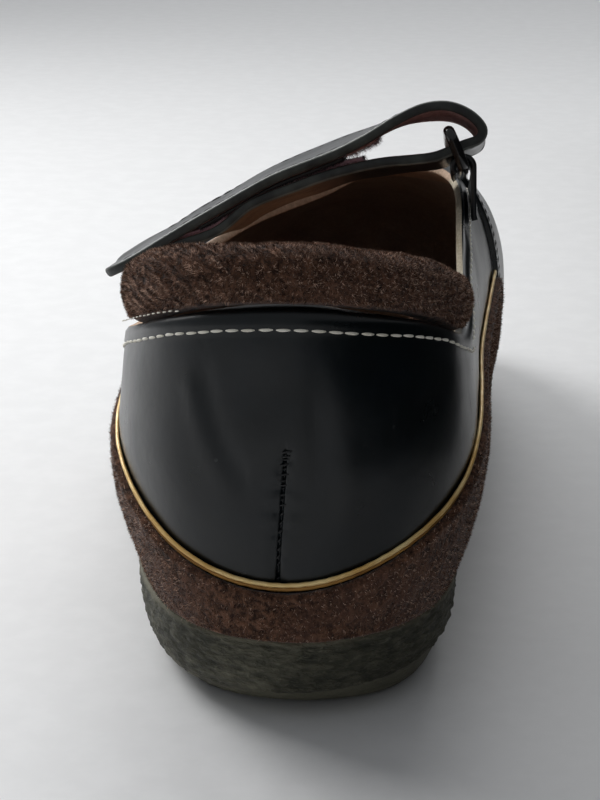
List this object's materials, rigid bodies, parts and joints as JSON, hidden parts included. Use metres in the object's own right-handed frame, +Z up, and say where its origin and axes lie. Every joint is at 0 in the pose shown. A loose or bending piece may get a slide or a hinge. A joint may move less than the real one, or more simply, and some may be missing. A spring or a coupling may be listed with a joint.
{
  "type": "mary jane flat",
  "caption": "Left mary jane comfort flat with a moulded sole, suede rand and padded collar, and a touch-fastened strap through a ring.",
  "frame": {"origin": "on the floor plane, in the middle of the heel tread", "axes": "+Z up, +Y along the foot from heel to toe, +X towards the inner side of the foot"},
  "size_m": [0.0948, 0.2566, 0.1041],
  "materials": {
    "sole": "olive grey moulded foam with a pebbled skin",
    "footbed": "tan insock leather",
    "upper": "smooth black leather, softly glossy",
    "rand": "brown suede",
    "piping": "gold coated twin cord",
    "collar": "brown suede over soft padding",
    "strap": "smooth black leather, mauve lining",
    "loop_patch": "mauve looped pile",
    "hook_patch": "black hooked tape",
    "ring": "black enamelled wire",
    "ring_tab": "smooth black leather"
  },
  "bodies": {
    "root": {"sole": "sole", "footbed": "footbed", "upper": "upper", "rand": "rand", "piping": "piping", "collar": "collar", "strap": "strap", "loop_patch": "loop_patch", "hook_patch": "hook_patch", "ring": "ring", "ring_tab": "ring_tab"}
  },
  "joints": []
}
